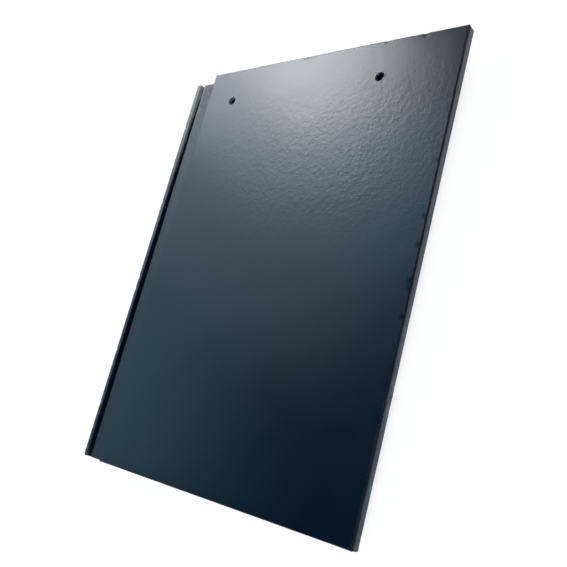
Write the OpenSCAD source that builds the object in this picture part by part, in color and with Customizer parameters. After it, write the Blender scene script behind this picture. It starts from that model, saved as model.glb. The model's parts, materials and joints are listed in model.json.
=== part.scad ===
// Flat interlocking concrete roof tile, in millimetres.
// One extruded and pressed piece: a flat slab with a recessed underlock along its left edge,
// a raised overlock along its right edge, two nail holes and two hanging nibs at the head,
// and weather bars under the tail.
// The frame: X runs across the roof, Y from the tail up to the head, Z out of the weather face.
// The origin is the middle of the bounding box's base, so the tile lies face up.

/* [Slab] */
// Overall width, from the underlock's rib to the overlock's lip
tile_width = 330; // [300:1:360]
// Overall length, from tail to head
tile_length = 420; // [380:1:460]
// Thickness from the weather face to the underside
slab_thickness = 18; // [17:0.5:22]
// Rounding of the face's edges at tail and head
end_arris = 1.2; // [0.6:0.1:2]
// Rounding of the face's edges along the overlock and the step
side_arris = 1.8; // [0.8:0.1:2.5]
// Rounding of the edges under the slab
under_arris = 2; // [1:0.25:3]

/* [Underlock, left edge] */
// Width from the left edge to the step up to the face
underlock_width = 36; // [32:1:42]
// Depth of the land below the weather face
land_drop = 9.5; // [9:0.25:10.5]
// Depth of the outer rib's crest below the weather face
crest_drop = 7.5; // [7:0.25:8]
// Width of the outer rib
rib_width = 5.5; // [4.5:0.25:7]
// Width of the groove between rib and land
groove_width = 4; // [3.5:0.25:5]
// Depth of groove and drain channel below the land
groove_depth = 3; // [2:0.25:3.5]
// Width of the drain channel beside the step
channel_width = 8; // [7:0.25:10]
// Slope of the groove and channel walls, as a run at the floor
wall_run = 0.6; // [0.2:0.1:0.8]
// Rounding of the rib's crest and of the land's edges
lock_round = 0.9; // [0.4:0.1:1.2]
// Length by which the underlock stops short of the head
head_notch = 3; // [2:0.5:8]
// Rounding in plan of the underlock's two outer corners
corner_round = 3; // [1:0.5:4]

/* [Overlock, right edge] */
// Vertical clearance between the overlock and the next tile's underlock
lap_clearance = 1; // [0.6:0.1:1.4]
// Sideways play of tongue and lip in the grooves
lap_play = 0.6; // [0.4:0.1:0.8]
// Open joint between the faces of two laid tiles
joint_gap = 1.5; // [1:0.25:2.5]
// Bevel of the lip's lower outer edge
lip_bevel = 2.3; // [1:0.1:3]

/* [Nail holes] */
// Diameter of the nail holes
nail_hole_d = 7; // [5:0.5:9]
// Widening of a nail hole's dished mouth, on each side
nail_flare = 1; // [0.6:0.1:1.6]
// Depth of the dished mouth
nail_mouth_depth = 0.8; // [0.4:0.1:1.2]
// Distance between the two nail holes
nail_spacing = 180; // [140:1:205]
// Sideways offset of the pair of nail holes from the slab's middle
nail_offset = -2; // [-6:0.5:6]
// Distance of the nail holes below the nibs' batten face, so that the nails enter the batten
nail_below_nibs = 14.5; // [10:0.5:24]

/* [Hanging nibs] */
// Width of a nib at its root
nib_width = 44; // [30:1:60]
// Thickness of a nib at its root, along the tile
nib_depth = 18; // [14:1:20]
// Height of a nib below the underside
nib_drop = 12; // [9:0.5:15]
// Distance between the middles of the two nibs
nib_spacing = 150; // [110:1:180]
// Distance of the nibs from the head
nib_from_head = 4; // [2:0.5:20]
// Slope of the nibs' head and side faces, as a run over their height
nib_run = 3; // [1:0.5:4]
// Rounding of the nibs' lower edges
nib_round = 2; // [0.5:0.5:3]

/* [Weather bars] */
// Number of bars under the tail
bar_count = 3; // [2:1:4]
// Width of a bar at its root
bar_width = 9; // [7:0.5:11]
// Height of a bar below the underside
bar_drop = 4.5; // [3:0.5:6]
// Distance from one bar to the next
bar_pitch = 18; // [15:1:22]
// Distance of the first bar from the tail
bar_from_tail = 3; // [1:0.5:6]
// Distance of the bars' ends from the sides of the slab's underside
bar_inset = 3; // [2:0.5:12]
// Slope of a bar's sides, as a run over its height
bar_run = 1.5; // [0.5:0.25:2]
// Rounding of a bar's lower edges
bar_round = 1.2; // [0.4:0.2:1.6]

/* [Underside panels] */
// Depth of the two shallow panels
panel_depth = 1.5; // [1:0.25:3]
// Width of the stiffening rib between the panels
panel_rib = 22; // [14:1:30]
// Flat margin beside the panels
panel_margin = 20; // [14:1:30]
// Flat length of the underside that bears on the batten, below the nibs
batten_seat = 44; // [34:1:54]
// Slope of the panels' sides, as a run over their depth
panel_run = 4; // [2:0.5:6]

/* [Hidden] */
tile_colour = "#22303c";
arc_steps = 4;
hole_facets = 48;
past = 10;

// Heights above the frame's base
under_z = nib_drop;
face_z = under_z + slab_thickness;

// Stations across the underlock, from the tile's left edge
land_x = rib_width + groove_width;
channel_x = underlock_width - channel_width;
floor_drop = land_drop + groove_depth;

// The overlock covers the next tile's underlock, which starts at the laid width
cover_width = tile_width - underlock_width + joint_gap;
over_land_drop = land_drop - lap_clearance;
over_crest_drop = crest_drop - lap_clearance;
tip_drop = floor_drop - lap_clearance;
tongue_x0 = cover_width + rib_width + wall_run + lap_play;
tongue_x1 = cover_width + land_x - wall_run - lap_play;
tongue_round = min(lock_round / 2, (tongue_x1 - tongue_x0) / 3);
lip_x = cover_width + channel_x + wall_run + lap_play;

// The slab's full thickness runs from the step to the next tile's outer rib
slab_x0 = underlock_width;
slab_x1 = cover_width - lap_play;
slab_mid = (slab_x0 + slab_x1) / 2;

// Length from the tail to the nibs' batten face
hanging_length = tile_length - nib_from_head - nib_depth;

// A corner of an outline is [x, y, rounding], and rounded() turns each rounding into an arc.
function unit(v) = v / norm(v);
function rounded_corner(before, corner, after) =
    let (p = [corner[0], corner[1]],
         r = corner[2],
         u = unit([before[0], before[1]] - p),
         v = unit([after[0], after[1]] - p),
         half = acos(u * v) / 2)
    r <= 0 ? [p] :
    let (c = p + unit(u + v) * r / sin(half),
         a = p + u * r / tan(half) - c,
         b = p + v * r / tan(half) - c,
         start = atan2(a[1], a[0]),
         turn = atan2(a[0] * b[1] - a[1] * b[0], a * b))
    [for (i = [0 : arc_steps])
        c + r * [cos(start + turn * i / arc_steps), sin(start + turn * i / arc_steps)]];
function rounded(outline) =
    let (n = len(outline))
    [for (i = [0 : n - 1])
        each rounded_corner(outline[(i + n - 1) % n], outline[i], outline[(i + 1) % n])];

// The section across the tile, with heights taken from the weather face.
underlock_top = [
    [0, -crest_drop, lock_round],
    [rib_width, -crest_drop, lock_round],
    [rib_width + wall_run, -floor_drop, lock_round / 2],
    [land_x - wall_run, -floor_drop, lock_round / 2],
    [land_x, -land_drop, lock_round],
    [channel_x, -land_drop, lock_round],
    [channel_x + wall_run, -floor_drop, lock_round],
    [slab_x0 - wall_run, -floor_drop, lock_round],
];
// The overlock's underside follows the next tile's underlock, from the lip inwards.
overlock_under = [
    [tile_width, lip_bevel - tip_drop, lock_round / 2],
    [tile_width - lip_bevel, -tip_drop, lock_round / 2],
    [lip_x, -tip_drop, lock_round / 2],
    [lip_x - wall_run, -over_land_drop, lock_round],
    [tongue_x1 + wall_run, -over_land_drop, lock_round],
    [tongue_x1, -tip_drop, tongue_round],
    [tongue_x0, -tip_drop, tongue_round],
    [tongue_x0 - wall_run, -over_crest_drop, lock_round],
    [slab_x1, -over_crest_drop, lock_round],
];
module tile_section() {
    translate([0, face_z])
        polygon(rounded([
            [0, -slab_thickness, under_arris],
            each underlock_top,
            [slab_x0, 0, side_arris],
            [tile_width, 0, side_arris],
            each overlock_under,
            [slab_x1 - wall_run, -slab_thickness, under_arris],
        ]));
}

// The tile seen from its side, with the edges at tail and head rounded.
module side_outline() {
    polygon(rounded([
        [0, under_z, under_arris / 2],
        [0, face_z, end_arris],
        [tile_length, face_z, end_arris],
        [tile_length, under_z, under_arris / 2],
    ]));
}

// The tile in plan, with the underlock cut back at the head.
module plan_outline() {
    polygon(rounded([
        [0, 0, corner_round],
        [tile_width, 0, end_arris / 2],
        [tile_width, tile_length, end_arris / 2],
        [slab_x0, tile_length, end_arris / 2],
        [slab_x0, tile_length - head_notch, end_arris / 2],
        [0, tile_length - head_notch, corner_round],
    ]));
}

// Two ways to sweep an outline: one drawn in X and Z along Y, and one drawn in Y and Z along X.
module along_y(from, to) {
    translate([0, to, 0]) rotate([90, 0, 0]) linear_extrude(to - from) children();
}
module along_x(from, to) {
    translate([from, 0, 0]) rotate([90, 0, 90]) linear_extrude(to - from) children();
}

// A block whose sides run in from its root to its tip, with the tip's edges rounded.
// xs and ys are its two sides at the root. tail_run is the run of the side that faces the tail.
module sloped_block(xs, ys, root, tip, run, tail_run, round) {
    intersection() {
        along_y(ys[0], ys[1])
            polygon(rounded([[xs[0], root, 0], [xs[1], root, 0],
                             [xs[1] - run, tip, round], [xs[0] + run, tip, round]]));
        along_x(xs[0], xs[1])
            polygon(rounded([[ys[0], root, 0], [ys[1], root, 0],
                             [ys[1] - run, tip, round], [ys[0] + tail_run, tip, round]]));
    }
}

module slab() {
    intersection() {
        along_y(0, tile_length) tile_section();
        along_x(0, tile_width) side_outline();
        linear_extrude(face_z + past) plan_outline();
    }
}

module hanging_nibs() {
    for (side = [-1, 1])
        let (x = slab_mid + side * nib_spacing / 2)
            sloped_block([x - nib_width / 2, x + nib_width / 2],
                         [hanging_length, hanging_length + nib_depth],
                         under_z + panel_depth, 0, nib_run, 0, nib_round);
}

module weather_bars() {
    for (i = [0 : bar_count - 1])
        let (y = bar_from_tail + i * bar_pitch)
            sloped_block([slab_x0 + bar_inset, slab_x1 - under_arris - bar_inset],
                         [y, y + bar_width],
                         under_z + panel_depth, under_z - bar_drop, bar_run, bar_run, bar_round);
}

// Two shallow panels lighten the underside between the weather bars and the batten.
module underside_panels() {
    ys = [bar_from_tail + bar_count * bar_pitch, hanging_length - batten_seat];
    for (xs = [[slab_x0 + panel_margin, slab_mid - panel_rib / 2],
               [slab_mid + panel_rib / 2, slab_x1 - panel_margin]])
        sloped_block(xs, ys, under_z, under_z + panel_depth, panel_run, panel_run, 0);
}

module nail_holes() {
    for (side = [-1, 1])
        translate([slab_mid + nail_offset + side * nail_spacing / 2,
                   hanging_length - nail_below_nibs, 0]) {
            cylinder(h = face_z + past, d = nail_hole_d, $fn = hole_facets);
            translate([0, 0, face_z - nail_mouth_depth])
                cylinder(h = nail_mouth_depth, d1 = nail_hole_d,
                         d2 = nail_hole_d + 2 * nail_flare, $fn = hole_facets);
        }
}

module tile() {
    color(tile_colour)
        translate([-tile_width / 2, -tile_length / 2, 0])
            difference() {
                union() {
                    slab();
                    hanging_nibs();
                    weather_bars();
                }
                underside_panels();
                nail_holes();
            }
}

tile();
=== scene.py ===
import json
import math
import random

import bmesh
import bpy
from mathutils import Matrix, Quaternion, Vector, kdtree, noise


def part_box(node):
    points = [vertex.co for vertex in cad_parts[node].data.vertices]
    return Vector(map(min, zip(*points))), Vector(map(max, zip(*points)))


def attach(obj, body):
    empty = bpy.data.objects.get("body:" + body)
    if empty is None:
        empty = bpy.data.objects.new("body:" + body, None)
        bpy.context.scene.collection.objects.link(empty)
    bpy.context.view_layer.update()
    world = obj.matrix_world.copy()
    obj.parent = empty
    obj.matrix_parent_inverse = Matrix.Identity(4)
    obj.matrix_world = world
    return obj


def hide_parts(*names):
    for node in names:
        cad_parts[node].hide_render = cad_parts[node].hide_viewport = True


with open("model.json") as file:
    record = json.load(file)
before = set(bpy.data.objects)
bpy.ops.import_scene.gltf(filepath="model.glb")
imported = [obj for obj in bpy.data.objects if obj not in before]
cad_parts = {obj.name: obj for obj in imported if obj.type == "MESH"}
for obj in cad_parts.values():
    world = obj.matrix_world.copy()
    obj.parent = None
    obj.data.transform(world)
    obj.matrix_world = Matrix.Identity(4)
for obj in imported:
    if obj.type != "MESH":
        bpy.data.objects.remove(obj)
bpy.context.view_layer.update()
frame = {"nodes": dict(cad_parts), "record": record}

# The finish of a flat interlocking roof tile: pressed concrete under a dark acrylic film.
# Lengths are in metres in the part's frame, and MM turns millimetres into them.
MM = 0.001

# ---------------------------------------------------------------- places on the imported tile

# The underlock, the recessed side that the next tile covers, from the left edge rightwards.
UNDERLOCK_WIDTH = 36 * MM
RIB_WIDTH = 5.5 * MM
GROOVE_WIDTH = 4 * MM

mounts = {m["name"]: m for m in frame["record"]["mounts"]}
low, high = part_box("tile")
face_z = high.z
land_z = mounts["underlock_land"]["pos_m"][2]
nail_holes = [Vector(mounts[n]["pos_m"]) for n in ("nail_hole_left", "nail_hole_right")]
nail_radius = mounts["nail_hole_left"]["dims"]["r_mm"] * MM
step_x = low.x + UNDERLOCK_WIDTH
rib_x = low.x + RIB_WIDTH
groove_end_x = rib_x + GROOVE_WIDTH


def corners_of(node):
    """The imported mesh's corner points."""
    return [v.co.copy() for v in frame["nodes"][node].data.vertices]


def resting_line(points):
    """The two points (y, z) under the middle of the tile's weight that a level floor touches."""
    hull = []
    for p in sorted({(round(v.y, 6), round(v.z, 6)) for v in points}):
        while len(hull) > 1:
            (ay, az), (by, bz) = hull[-2], hull[-1]
            if (by - ay) * (p[1] - az) - (bz - az) * (p[0] - ay) > 0:
                break
            hull.pop()
        hull.append(p)
    return next((a, b) for a, b in zip(hull, hull[1:]) if a[0] <= 0 <= b[0])


# ---------------------------------------------------------------- the tile's surface

SPACING = 1.8 * MM  # of the mesh over the weather side
UNDER_SPACING = 4.0 * MM                     # of the mesh under the slab
ARRIS_REACH = 2.2 * MM                       # from an edge to the flat beside its arris
FLAT_FROM = ARRIS_REACH - 0.1 * MM           # where the flat beside a side arris is cut
END_FLAT_FROM = 1.35 * MM                    # the same beside a head or tail arris
ARRIS_KEPT = 0.38                            # of the cast arris's round, under the film
OVERSPRAY = 3.0 * MM                         # how far down the sides dry overspray reaches
OUTLINE_REACH = 4 * MM                       # how far in from the outer edges they wear
CHIPS = 60                                   # flakes missing along the arrises


def stations(start, end, spacing):
    """Evenly spaced places between two ends, without the ends."""
    count = max(1, round((end - start) / spacing))
    return [start + (end - start) * i / count for i in range(1, count)]


def slice_along(mesh, faces, axis, places):
    """Cuts the faces where they cross each place along the axis, from low to high."""
    normal = Vector([float(i == axis) for i in range(3)])
    near = 0.001 * MM
    for place in places:
        edges = {e for f in faces for e in f.edges}
        verts = {v for f in faces for v in f.verts}
        cut = bmesh.ops.bisect_plane(mesh, geom=[*verts, *edges, *faces], dist=near,
                                     plane_co=normal * place, plane_no=normal)
        faces = [g for g in cut["geom"] if isinstance(g, bmesh.types.BMFace)
                 and max(v.co[axis] for v in g.verts) > place + near]


# Close beside the arrises, so that the flat faces keep flat shading right up to them.
beside_arrises = [
    [step_x + FLAT_FROM, high.x - FLAT_FROM],
    [low.y + END_FLAT_FROM, high.y - END_FLAT_FROM],
    [face_z - OVERSPRAY, face_z - FLAT_FROM],
]


def looks_down(face):
    """True on faces cast against the pallet."""
    return face.normal.z < -0.5


def surface_mesh(node):
    """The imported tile's own surface, cut into small cells that can carry relief."""
    mesh = bmesh.new()
    mesh.from_mesh(frame["nodes"][node].data)
    bmesh.ops.remove_doubles(mesh, verts=mesh.verts, dist=0.0001 * MM)
    bmesh.ops.dissolve_limit(mesh, angle_limit=math.radians(0.3),
                             verts=mesh.verts, edges=mesh.edges)
    for axis in (0, 1):
        upper = [f for f in mesh.faces if not looks_down(f)]
        places = stations(low[axis], high[axis], SPACING) + beside_arrises[axis]
        slice_along(mesh, upper, axis, sorted(places))
        lower = [f for f in mesh.faces if looks_down(f)]
        slice_along(mesh, lower, axis, stations(low[axis], high[axis], UNDER_SPACING))
    upper = [f for f in mesh.faces if not looks_down(f)]
    slice_along(mesh, upper, 2, beside_arrises[2])
    mesh.normal_update()
    return mesh


def grain(point, size):
    """A smooth unevenness from 0 to 1 whose lumps are about this many millimetres across."""
    return 0.5 + 0.5 * noise.noise(point / (size * MM))


def clamp(value):
    """The value, kept between 0 and 1."""
    return max(0.0, min(1.0, value))


def arris_amount(vert):
    """1 on the rounded arrises round the slab, 0 on the flat faces beside them."""
    turned = 1 - max(abs(c) for c in vert.normal)
    return clamp(turned / 0.12)


def near_nail_hole(point, reach):
    """True on a nail hole's wall and within this reach of it, seen from above."""
    return any((point - hole).xy.length < nail_radius + reach for hole in nail_holes)


def in_nail_hole(point):
    """True on a nail hole's wall and on the flare round its mouth."""
    return near_nail_hole(point, 1.2 * MM)


def on_outline(point):
    """True within a few millimetres of the tile's outer edges."""
    return (min(point.x - low.x, high.x - point.x) < OUTLINE_REACH
            or min(point.y - low.y, high.y - point.y) < OUTLINE_REACH)


def wear_depth(vert):
    """How far, in mm, the real surface lies below the nominal one."""
    p, n = vert.co, vert.normal
    if in_nail_hole(p):
        return 0.0
    if n.z < -0.5:                      # cast against the pallet: nearly flat
        depth = 0.05 * grain(p, 9)
    elif n.z > 0.5 and p.x > step_x:    # the weather face under its film
        depth = 0.03 * grain(p, 7) + 0.06 * grain(p, 24)
    elif n.z > 0.5:                     # the underlock's ribs and channels
        depth = 0.08 * grain(p, 6) + 0.06 * grain(p, 18)
    else:                               # formed and cut edges
        depth = 0.10 * grain(p, 4) + 0.14 * grain(p, 13)
    if n.z > -0.4 and on_outline(p):
        rough = arris_amount(vert)
        depth += rough * (0.26 * grain(p, 9) ** 2 + 0.10 * grain(p, 3.5))
    return depth


def chip_places(count, rng):
    """Places along the weather side's arrises where small flakes of concrete are missing."""
    sides = [((high.x, low.y), (high.x, high.y)), ((low.x, low.y), (high.x, low.y)),
             ((step_x, high.y), (high.x, high.y)), ((low.x, low.y), (low.x, high.y))]
    for _ in range(count):
        (ax, ay), (bx, by) = rng.choice(sides)
        t = rng.random()
        level = face_z if ax >= step_x else land_z + 2 * MM
        size = rng.triangular(1.2, 3.2, 1.5)
        yield Vector((ax + (bx - ax) * t, ay + (by - ay) * t, level)), size * MM


def crisp_side_arrises(mesh):
    """Draws the face's two long arrises in from their cast round to the crisper sprayed one."""
    for v in mesh.verts:
        for edge_x, inwards in ((high.x, -1), (step_x, 1)):
            across = (v.co.x - edge_x) * inwards
            inside = across > -0.05 * MM
            if inside and across < ARRIS_REACH and face_z - v.co.z < ARRIS_REACH:
                v.co.x = edge_x + inwards * across * ARRIS_KEPT
                v.co.z = face_z - (face_z - v.co.z) * ARRIS_KEPT


def weather_the_surface(mesh):
    """Moves each point in below the nominal surface, never out of it."""
    depths = {v: wear_depth(v) * MM for v in mesh.verts}
    mesh.verts.ensure_lookup_table()
    tree = kdtree.KDTree(len(mesh.verts))
    for v in mesh.verts:
        tree.insert(v.co, v.index)
    tree.balance()
    for place, size in chip_places(CHIPS, random.Random(11)):
        for _, index, away in tree.find_range(place, size):
            v = mesh.verts[index]
            if not in_nail_hole(v.co):
                depths[v] += 0.20 * size * (1 - (away / size) ** 2) * (0.5 + grain(v.co, 2.5))
    for v, depth in depths.items():
        v.co -= v.normal * depth


def from_head(point, start, end):
    """0 at the first distance in mm from the head edge, 1 at the second, smooth between them."""
    t = clamp((high.y - point.y - start * MM) / ((end - start) * MM))
    return t * t * (3 - 2 * t)


def film_and_painted_light_amount(point, normal):
    """How much of the sprayed film a place has, before its edge is made ragged.

    Below about 0.35 concrete shows, and above 0.55 the film covers it. The spray missed part of the
    left nail hole's mouth, whose pale concrete is partly painted light on its wall. The film thins out
    towards the left edge and the head of the underlock, where pale concrete is a painted highlight,
    and on the rib's inner wall it thickens towards the foot as painted shade in the groove.
    """
    # The left nail hole's mouth is left bare and pale, partly painted light on its wall.
    if (point - nail_holes[0]).xy.length < nail_radius + 0.3 * MM:
        return 0.20 if point.z > face_z - 2.5 * MM and normal.z < 0.8 else 1.0
    if point.x > step_x + 3 * MM:
        return 1.0
    if point.x > step_x - 1 * MM:                # the step and its arris
        return 0.80 + 0.20 * clamp((normal.z - 0.98) / 0.02)
    if point.x > groove_end_x + 1.5 * MM:        # the land
        return 0.62 + 0.12 * from_head(point, 10, 120)
    if point.x > groove_end_x - 0.2 * MM:        # the arris between the land and the groove
        return 1.00 - 0.26 * from_head(point, 40, 110)
    if point.x > rib_x - 1.2 * MM:               # rib's inner wall: painted shade at its foot, painted light near the head
        height = clamp((point.z - land_z + 2.5 * MM) / (4.5 * MM)) ** 2
        return 0.10 + 0.80 * from_head(point, 110 * height - 28, 60 + 240 * height)
    # the rib's top: thinner film near the head, its pale concrete partly a painted highlight
    return 0.12 + 0.34 * from_head(point, 60, 250)


def edge_amount(point):
    """1 on the slab's own outer edges, where the film ends in a ragged line, and 0 elsewhere."""
    if in_nail_hole(point) or point.x < step_x + 0.5 * MM:
        return 0.0
    return float(on_outline(point))


def painted_head_light_amount(point):
    """Painted light: how pale bare concrete is near the head edge, most on the rib and in the groove.
    """
    if point.x < groove_end_x:
        # painted light: most on the rib's inner wall and the groove floor, less on the rib's top
        pale = 0.80 if point.x > rib_x - 1.2 * MM else 0.38
        return pale - (pale - 0.10) * from_head(point, 10, 130)
    # painted light on the face and sides, fading out over 380 mm from the head
    return 0.24 * (1 - from_head(point, 40, 380))


def grit_amount(point):
    """How far sand shows through the film: most in a broad patch where it was sprayed thinnest."""
    across = (point.x - 60 * MM) / (170 * MM)    # from the patch's middle, over its half width
    along = (point.y - 102 * MM) / (86 * MM)     # and over its half length
    patch = math.exp(-across * across - along * along)
    return 0.01 + patch * (0.5 + grain(point, 45))


tile_mesh = surface_mesh("tile")
layers = {name: tile_mesh.verts.layers.float.new(name) for name in ("film", "edge", "painted_head_light", "grit")}
for v in tile_mesh.verts:
    v[layers["film"]] = film_and_painted_light_amount(v.co, v.normal)
    v[layers["edge"]] = edge_amount(v.co)
    v[layers["painted_head_light"]] = painted_head_light_amount(v.co)
    v[layers["grit"]] = grit_amount(v.co)
crisp_side_arrises(tile_mesh)
weather_the_surface(tile_mesh)


def new_object(name, mesh, *materials):
    """Puts a mesh in the scene as an object with these materials in its slots."""
    data = bpy.data.meshes.new(name)
    mesh.to_mesh(data)
    mesh.free()
    made = bpy.data.objects.new(name, data)
    bpy.context.scene.collection.objects.link(made)
    for material in materials:
        data.materials.append(material)
    return made


# ---------------------------------------------------------------- materials

def linear(hex_colour):
    """An sRGB hex colour as linear red, green, blue and alpha."""
    parts = [int(hex_colour[i:i + 2], 16) / 255 for i in (1, 3, 5)]
    return [c / 12.92 if c <= 0.04045 else ((c + 0.055) / 1.055) ** 2.4 for c in parts] + [1.0]


def add_node(tree, kind, inputs=None, **settings):
    """Adds a node. An input takes a value, a socket, or a node, which stands for its live output."""
    node = tree.nodes.new(kind)
    for name, value in settings.items():
        setattr(node, name, value)
    for name, value in (inputs or {}).items():
        if isinstance(value, bpy.types.Node):
            value = next(socket for socket in value.outputs if socket.enabled)
        if isinstance(value, bpy.types.NodeSocket):
            tree.links.new(value, node.inputs[name])
        else:
            node.inputs[name].default_value = value
    return node


def new_material(name):
    """A material, its tree, and the tree's only node, which is the output."""
    material = bpy.data.materials.new(name)
    material.use_nodes = True
    tree = material.node_tree
    tree.nodes.clear()
    out = add_node(tree, "ShaderNodeOutputMaterial")
    return material, tree, out


def place_in_mm(tree):
    """The place on the object in mm, for patterns whose scales are 1 / their size in mm."""
    place = add_node(tree, "ShaderNodeTexCoord").outputs["Object"]
    return add_node(tree, "ShaderNodeVectorMath", {0: place, "Scale": 1 / MM}, operation="SCALE")


def sprayed_concrete(name, specular):
    """Extruded concrete with a sprayed satin acrylic film, which hides the grey and shines softly.

    The film stops in a ragged line on the outer edges, and bare concrete shows beyond it.
    Where the spray landed dry, as a powder, it is porous and has next to no gloss: specular is low.
    Lengths are in mm. In the Mix nodes 2 and 3 are the two numbers, 6 and 7 the two colours.
    """
    material, tree, out = new_material(name)
    in_mm = place_in_mm(tree)
    film, edge, painted_head_light, grit = [
        add_node(tree, "ShaderNodeAttribute", attribute_name=name).outputs["Fac"]
        for name in ("film", "edge", "painted_head_light", "grit")]

    # Where the film is: down to 2.6 mm below the face on the outer edges, with runs 7 mm apart.
    height = add_node(tree, "ShaderNodeSeparateXYZ", {0: in_mm}).outputs["Z"]
    runs = add_node(tree, "ShaderNodeTexNoise", {"Vector": in_mm, "Scale": 1 / 7, "Detail": 2.0})
    runs = add_node(tree, "ShaderNodeMapRange", {
        "Value": runs, "From Min": 0.3, "From Max": 0.7, "To Min": -0.4, "To Max": 0.4},
        interpolation_type="SMOOTHSTEP")
    level = add_node(tree, "ShaderNodeMath", {0: height, 1: runs}, operation="ADD")
    brink = add_node(tree, "ShaderNodeMapRange", {
        "Value": level, "From Min": face_z / MM - 2.9, "From Max": face_z / MM - 2.2,
        "To Min": 0.14, "To Max": 1.0}, interpolation_type="SMOOTHSTEP")
    cover = add_node(tree, "ShaderNodeMix", {0: edge, 2: film, 3: brink}, data_type="FLOAT")
    ragged = add_node(tree, "ShaderNodeTexNoise", {"Vector": in_mm, "Scale": 1 / 3.5, "Detail": 4.0})
    ragged = add_node(tree, "ShaderNodeMapRange", {
        "Value": ragged, "From Min": 0.25, "From Max": 0.75, "To Min": -0.12, "To Max": 0.12},
        interpolation_type="SMOOTHSTEP")
    wet = add_node(tree, "ShaderNodeMath", {0: cover, 1: ragged}, operation="ADD")
    coat = add_node(tree, "ShaderNodeMapRange", {
        "Value": wet, "From Min": 0.34, "From Max": 0.56}, interpolation_type="SMOOTHSTEP")
    gloss = add_node(tree, "ShaderNodeMapRange", {
        "Value": wet, "From Min": 0.40, "From Max": 0.92}, interpolation_type="SMOOTHSTEP")

    # The film's blue-black, with clouds 70 mm across where it lies thicker.
    clouds = add_node(tree, "ShaderNodeTexNoise", {"Vector": in_mm, "Scale": 1 / 70, "Detail": 3.0})
    clouds = add_node(tree, "ShaderNodeMapRange", {
        "Value": clouds, "From Min": 0.35, "From Max": 0.65}, interpolation_type="SMOOTHSTEP")
    film_colour = add_node(tree, "ShaderNodeMix", {
        0: clouds, 6: linear("#000f22"), 7: linear("#021526")}, data_type="RGBA")

    # Bare concrete: blue-grey, mottled over 9 mm, painted paler towards the head edge as light there,
    # with sand grains drawn at 1.7 mm, about twice their real size,
    # because finer ones wouldn't show.
    mottle = add_node(tree, "ShaderNodeTexNoise", {
        "Vector": in_mm, "Scale": 1 / 9, "Detail": 4.0, "Roughness": 0.6})
    mottle = add_node(tree, "ShaderNodeMapRange", {
        "Value": mottle, "From Min": 0.3, "From Max": 0.7}, interpolation_type="SMOOTHSTEP")
    damp_colour = add_node(tree, "ShaderNodeMix", {
        0: mottle, 6: linear("#19303f"), 7: linear("#2b404c")}, data_type="RGBA")
    # Painted light: bare concrete turns pale, #c8c2b9, towards the head edge, for the highlight there.
    bare_colour = add_node(tree, "ShaderNodeMix", {
        0: painted_head_light, 6: damp_colour, 7: linear("#c8c2b9")}, data_type="RGBA")
    sand = add_node(tree, "ShaderNodeTexNoise", {"Vector": in_mm, "Scale": 1 / 1.7, "Detail": 1.0})
    sand = add_node(tree, "ShaderNodeMapRange", {
        "Value": sand, "From Min": 0.54, "From Max": 0.70, "To Max": 0.40},
        interpolation_type="SMOOTHSTEP")
    bare_colour = add_node(tree, "ShaderNodeMix", {
        0: sand, 6: bare_colour, 7: linear("#76868f")}, data_type="RGBA")
    colour = add_node(tree, "ShaderNodeMix", {0: coat, 6: bare_colour, 7: film_colour},
                      data_type="RGBA")

    # Satin film, 0.277 to 0.286 rough in patches 35 mm across, and dull concrete.
    patches = add_node(tree, "ShaderNodeTexNoise", {"Vector": in_mm, "Scale": 1 / 35, "Detail": 3.0})
    satin = add_node(tree, "ShaderNodeMapRange", {
        "Value": patches, "From Min": 0.3, "From Max": 0.7, "To Min": 0.277, "To Max": 0.286},
        interpolation_type="SMOOTHSTEP")
    rough = add_node(tree, "ShaderNodeMix", {0: gloss, 2: 0.62, 3: satin}, data_type="FLOAT")

    # Relief: sand telegraphing through the film in ridges drawn 4 mm apart, coarser than the
    # real grit so that it shows, and open pores on the bare edges, drawn at 1.6 mm for the same.
    ridges = add_node(tree, "ShaderNodeTexNoise", {
        "Vector": in_mm, "Scale": 1 / 4.0, "Detail": 3.0, "Roughness": 0.55})
    ridges = add_node(tree, "ShaderNodeMath", {0: ridges, 1: 0.19}, operation="MULTIPLY")
    ridges = add_node(tree, "ShaderNodeMath", {0: ridges, 1: grit}, operation="MULTIPLY")
    open_grain = add_node(tree, "ShaderNodeMapRange", {"Value": coat, "To Min": 0.18, "To Max": 0.0})
    pores = add_node(tree, "ShaderNodeTexNoise", {"Vector": in_mm, "Scale": 1 / 1.6, "Detail": 3.0})
    pores = add_node(tree, "ShaderNodeMath", {0: pores, 1: open_grain}, operation="MULTIPLY")
    relief = add_node(tree, "ShaderNodeMath", {0: ridges, 1: pores}, operation="ADD")
    bump = add_node(tree, "ShaderNodeBump", {"Height": relief, "Distance": MM, "Strength": 1.0})
    shader = add_node(tree, "ShaderNodeBsdfPrincipled", {
        "Base Color": colour, "Roughness": rough, "IOR": 1.49, "Specular IOR Level": specular,
        "Normal": bump})
    tree.links.new(shader.outputs[0], out.inputs[0])
    return material


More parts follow.
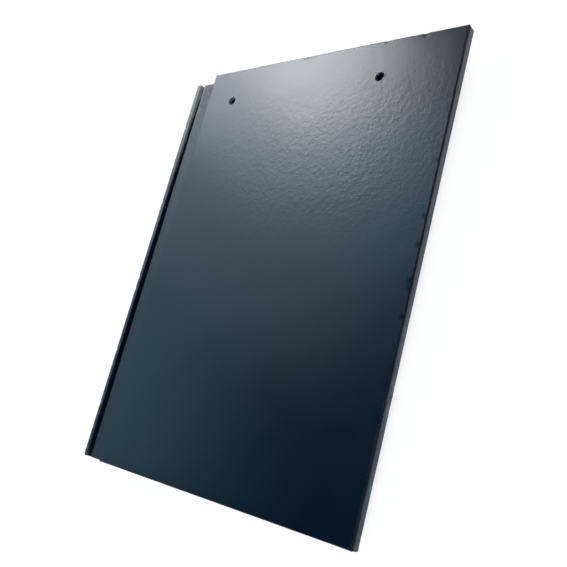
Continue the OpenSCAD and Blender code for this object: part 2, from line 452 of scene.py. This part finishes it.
def pallet_cast_concrete():
    """Through-coloured concrete cast against a steel pallet: dull, grey, with small air pores.

    Bloom is the pale lime that concrete sheds as it dries. Lengths are in mm. Sand, grains and
    pores are drawn coarser than real ones, at 1.4, 1.8 and 7 mm, so that they show.
    """
    material, tree, out = new_material("pallet_cast_concrete")
    in_mm = place_in_mm(tree)
    tone = add_node(tree, "ShaderNodeTexNoise", {
        "Vector": in_mm, "Scale": 1 / 38, "Detail": 5.0, "Roughness": 0.6})
    tone = add_node(tree, "ShaderNodeMapRange", {
        "Value": tone, "From Min": 0.35, "From Max": 0.68}, interpolation_type="SMOOTHSTEP")
    colour = add_node(tree, "ShaderNodeMix", {
        0: tone, 6: linear("#3d4449"), 7: linear("#565d61")}, data_type="RGBA")
    bloom = add_node(tree, "ShaderNodeTexNoise", {
        "Vector": in_mm, "Scale": 1 / 16, "Detail": 5.0, "Roughness": 0.65})
    bloom = add_node(tree, "ShaderNodeMapRange", {
        "Value": bloom, "From Min": 0.56, "From Max": 0.78, "To Max": 0.45},
        interpolation_type="SMOOTHSTEP")
    colour = add_node(tree, "ShaderNodeMix", {0: bloom, 6: colour, 7: linear("#7d8283")},
                      data_type="RGBA")
    sand = add_node(tree, "ShaderNodeTexNoise", {"Vector": in_mm, "Scale": 1 / 1.4, "Detail": 2.0})
    sand = add_node(tree, "ShaderNodeMapRange", {
        "Value": sand, "From Min": 0.58, "From Max": 0.72, "To Max": 0.35},
        interpolation_type="SMOOTHSTEP")
    colour = add_node(tree, "ShaderNodeMix", {0: sand, 6: colour, 7: linear("#8b8e8c")},
                      data_type="RGBA")
    cells = add_node(tree, "ShaderNodeTexVoronoi", {"Vector": in_mm, "Scale": 1 / 7})
    pores = add_node(tree, "ShaderNodeMapRange", {
        "Value": cells, "From Min": 0.10, "From Max": 0.17, "To Min": 1.0, "To Max": 0.0},
        interpolation_type="SMOOTHSTEP")
    # Painted shade: the pores are coloured near-black, #1d2225, for the shade inside them.
    colour = add_node(tree, "ShaderNodeMix", {0: pores, 6: colour, 7: linear("#1d2225")},
                      data_type="RGBA")
    grains = add_node(tree, "ShaderNodeTexNoise", {
        "Vector": in_mm, "Scale": 1 / 1.8, "Detail": 4.0, "Roughness": 0.6})
    grains = add_node(tree, "ShaderNodeMath", {0: grains, 1: 0.12}, operation="MULTIPLY")
    hollows = add_node(tree, "ShaderNodeMath", {0: pores, 1: 0.6}, operation="MULTIPLY")
    relief = add_node(tree, "ShaderNodeMath", {0: grains, 1: hollows}, operation="SUBTRACT")
    bump = add_node(tree, "ShaderNodeBump", {"Height": relief, "Distance": MM, "Strength": 1.0})
    shader = add_node(tree, "ShaderNodeBsdfPrincipled", {
        "Base Color": colour, "Roughness": 0.88, "IOR": 1.5, "Normal": bump})
    tree.links.new(shader.outputs[0], out.inputs[0])
    return material


def lies_in_overspray(polygon):
    """True on the walls just under the film's edge, on the step and in the nail holes."""
    p = polygon.center
    if near_nail_hole(p, 0.4 * MM):
        return polygon.normal.z < 0.3
    if p.x < step_x + 1.2 * MM:
        return p.x > step_x - 1 * MM and polygon.normal.z < 0.985
    return p.z > face_z - OVERSPRAY and polygon.normal.z < 0.75


def nail_mouth_edges(mesh):
    """The edges where the flat face turns down into a nail hole."""
    near = [p for p in mesh.polygons if p.normal.z > 0 and p.center.z > face_z - 3 * MM
            and near_nail_hole(p.center, 4 * MM)]
    level = 0.999
    flat = {key for p in near if p.normal.z > level for key in p.edge_keys}
    turned = {key for p in near if p.normal.z <= level for key in p.edge_keys}
    return flat & turned


tile = new_object("coated_tile", tile_mesh,
                  sprayed_concrete("acrylic_film_on_concrete", 0.5), pallet_cast_concrete(),
                  sprayed_concrete("dry_overspray_on_concrete", 0.06))
for polygon in tile.data.polygons:
    if polygon.normal.z < -0.3:
        polygon.material_index = 1
    elif lies_in_overspray(polygon):
        polygon.material_index = 2
tile.data.shade_smooth()
tile.data.set_sharp_from_angle(angle=math.radians(40))
mouth = nail_mouth_edges(tile.data)
for edge in tile.data.edges:
    if edge.key in mouth:
        edge.use_edge_sharp = True
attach(tile, "root")
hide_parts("tile")

# ---------------------------------------------------------------- floor, lights and camera

(tail_y, tail_z), (nib_y, nib_z) = resting_line(corners_of("tile"))
floor_tilt = math.atan2(nib_z - tail_z, nib_y - tail_y)


def white_cove_paper():
    """Matt white backdrop paper: plain white to the eye and in gloss, and clear from behind.

    Ambient occlusion greys the white beside the tile, more widely in gloss, as its shadow would.
    """
    material, tree, out = new_material("white_cove_paper")
    ray = add_node(tree, "ShaderNodeLightPath").outputs
    seen = add_node(tree, "ShaderNodeMath", {0: ray["Is Camera Ray"], 1: ray["Is Glossy Ray"]},
                    operation="ADD")
    seen = add_node(tree, "ShaderNodeMath", {0: seen, 1: ray["Is Transmission Ray"]},
                    operation="ADD", use_clamp=True)
    shade = add_node(tree, "ShaderNodeAmbientOcclusion", {"Distance": 60 * MM}, samples=8)
    open_air = add_node(tree, "ShaderNodeMapRange", {
        "Value": shade.outputs["AO"], "From Min": 0.02, "From Max": 0.30, "To Max": 0.95},
        interpolation_type="SMOOTHSTEP")
    in_gloss = add_node(tree, "ShaderNodeMapRange", {
        "Value": shade.outputs["AO"], "From Min": 0.30, "From Max": 0.95, "To Max": 0.95})
    glow = add_node(tree, "ShaderNodeMix", {
        0: ray["Is Camera Ray"], 2: in_gloss, 3: open_air}, data_type="FLOAT")
    lit = add_node(tree, "ShaderNodeBsdfDiffuse", {"Color": linear("#e6e6e6")})
    matt = add_node(tree, "ShaderNodeBsdfDiffuse", {"Color": linear("#595959")})
    glow = add_node(tree, "ShaderNodeEmission", {"Color": linear("#ffffff"), "Strength": glow})
    white = add_node(tree, "ShaderNodeAddShader", {0: matt, 1: glow})
    front = add_node(tree, "ShaderNodeMixShader", {0: seen, 1: lit, 2: white})
    behind = add_node(tree, "ShaderNodeNewGeometry").outputs["Backfacing"]
    behind = add_node(tree, "ShaderNodeMath", {0: behind, 1: ray["Is Shadow Ray"]},
                      operation="MAXIMUM")       # so that under_fill reaches the underside
    clear = add_node(tree, "ShaderNodeBsdfTransparent")
    sided = add_node(tree, "ShaderNodeMixShader", {0: behind, 1: front, 2: clear})
    tree.links.new(sided.outputs[0], out.inputs[0])
    return material


def cove_mesh(radius, rise, bend):
    """A round floor whose rim turns up into a wall, as the paper of a photo studio does."""
    steps = 8
    turns = 64
    profile = [(radius * i / steps, 0.0) for i in range(1, steps + 1)]
    for i in range(1, steps + 1):
        a = math.radians(90 * i / steps)
        profile.append((radius + bend * math.sin(a), bend * (1 - math.cos(a))))
    profile.append((radius + bend, rise))
    mesh = bmesh.new()
    middle = mesh.verts.new((0, 0, 0))
    rings = []
    for r, z in profile:
        rings.append([mesh.verts.new((r * math.cos(2 * math.pi * k / turns),
                                      r * math.sin(2 * math.pi * k / turns), z)) for k in range(turns)])
    for k in range(turns):
        mesh.faces.new((middle, rings[0][k], rings[0][(k + 1) % turns]))
        for inner, outer in zip(rings, rings[1:]):
            mesh.faces.new((inner[k], outer[k], outer[(k + 1) % turns], inner[(k + 1) % turns]))
    mesh.normal_update()
    return mesh


floor = new_object("white_cove", cove_mesh(radius=4.5, rise=2.6, bend=1.2), white_cove_paper())
floor.data.shade_smooth()
floor.location = (0, tail_y, tail_z)
floor.rotation_euler = (floor_tilt, 0, 0)


def direction(azimuth, elevation):
    """The unit vector this way, with azimuth 0 along +X and 90 along +Y, in degrees."""
    a, e = math.radians(azimuth), math.radians(elevation)
    return Vector((math.cos(a) * math.cos(e), math.sin(a) * math.cos(e), math.sin(e)))


def softbox(name, azimuth, elevation, distance, width, height, brightness, colour):
    """A rectangular lamp aimed at the middle of the face. Brightness 1 is as bright as white paper."""
    light = bpy.data.lights.new(name, "AREA")
    light.shape = "RECTANGLE"
    light.size, light.size_y = width, height
    light.color = linear(colour)[:3]
    light.energy = brightness * math.pi * width * height
    lamp = bpy.data.objects.new(name, light)
    bpy.context.scene.collection.objects.link(lamp)
    away = direction(azimuth, elevation)
    lamp.location = Vector((0, 0, face_z)) + away * distance
    lamp.rotation_mode = "QUATERNION"
    lamp.rotation_quaternion = (-away).to_track_quat("-Z", "Y")
    lamp.visible_camera = False


softbox("key_softbox", 129.3, 35.6, 1.3, 0.37, 0.22, 13.3, "#fbfcfb")
softbox("key_spill", 137.2, 24.9, 1.3, 0.50, 0.90, 3.10, "#f8f8f9")
softbox("cool_wall", 149.5, 28.8, 1.3, 0.74, 1.43, 1.48, "#c3e6ff")
softbox("cool_side", 184.6, 30.0, 1.3, 0.58, 0.75, 1.05, "#a8eaff")
softbox("cool_top", 133, 54, 1.3, 0.42, 0.34, 1.00, "#38c0ff")
softbox("front_fill", -60, 44, 1.5, 1.5, 1.1, 3.4, "#e8f4ff")
softbox("under_fill", 0, -88, 1.5, 0.5, 0.5, 11.0, "#f4f8ff")     # through the one-sided paper

world = bpy.data.worlds.new("studio")
bpy.context.scene.world = world
world.use_nodes = True
world.node_tree.nodes["Background"].inputs["Color"].default_value = linear("#9ad4ff")
world.node_tree.nodes["Background"].inputs["Strength"].default_value = 0.02

CAMERA_AT = Vector((431.9, -153.5, 470.0)) * MM
CAMERA_AIM = Vector((45.4, -31.35, 30.0)) * MM
CAMERA_ROLL = 62.16     # degrees
LENS = 44.62            # mm, on film 36 mm wide
LENS_SHIFT = 0.0221     # of the frame's width, upwards
camera_data = bpy.data.cameras.new("camera")
camera = bpy.data.objects.new("camera", camera_data)
bpy.context.scene.collection.objects.link(camera)
camera.location = CAMERA_AT
camera.rotation_mode = "QUATERNION"
camera.rotation_quaternion = ((CAMERA_AIM - CAMERA_AT).to_track_quat("-Z", "Y")
                              @ Quaternion((0, 0, 1), -math.radians(CAMERA_ROLL)))
camera_data.sensor_width = 36
camera_data.lens = LENS
camera_data.shift_y = LENS_SHIFT
camera_data.clip_start = 0.01
bpy.context.scene.camera = camera
bpy.context.scene.view_settings.view_transform = "Standard"
